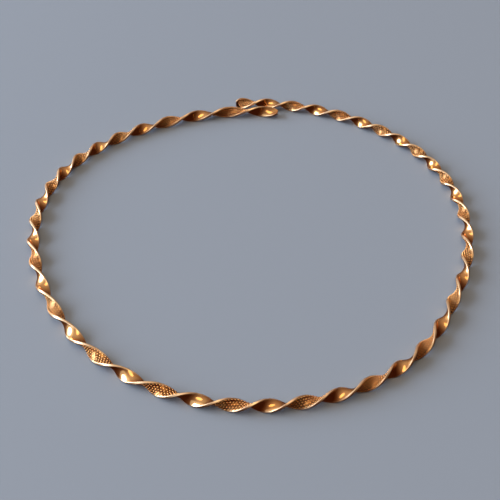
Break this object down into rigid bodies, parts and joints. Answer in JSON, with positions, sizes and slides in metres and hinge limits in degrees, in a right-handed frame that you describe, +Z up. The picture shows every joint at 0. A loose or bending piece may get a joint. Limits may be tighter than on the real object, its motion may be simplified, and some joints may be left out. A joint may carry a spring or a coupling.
{
  "type": "gold torc, a twisted strip hoop",
  "caption": "Open neck hoop of left-hand twisted gold strip, with one face dotted and one plain, whose ends pass each other.",
  "frame": {"origin": "on the surface that the hoop lies on, at the middle of its plan", "axes": "+Z up through the neck opening, +Y towards the open ends of the hoop, +X to the right with the ends at the back"},
  "size_m": [0.1454, 0.1476, 0.0039],
  "materials": {
    "hoop_gold": "worn copper-rich gold, with one face dotted and one face polished"
  },
  "bodies": {
    "root": {"neck_hoop": "hoop_gold"}
  },
  "joints": []
}
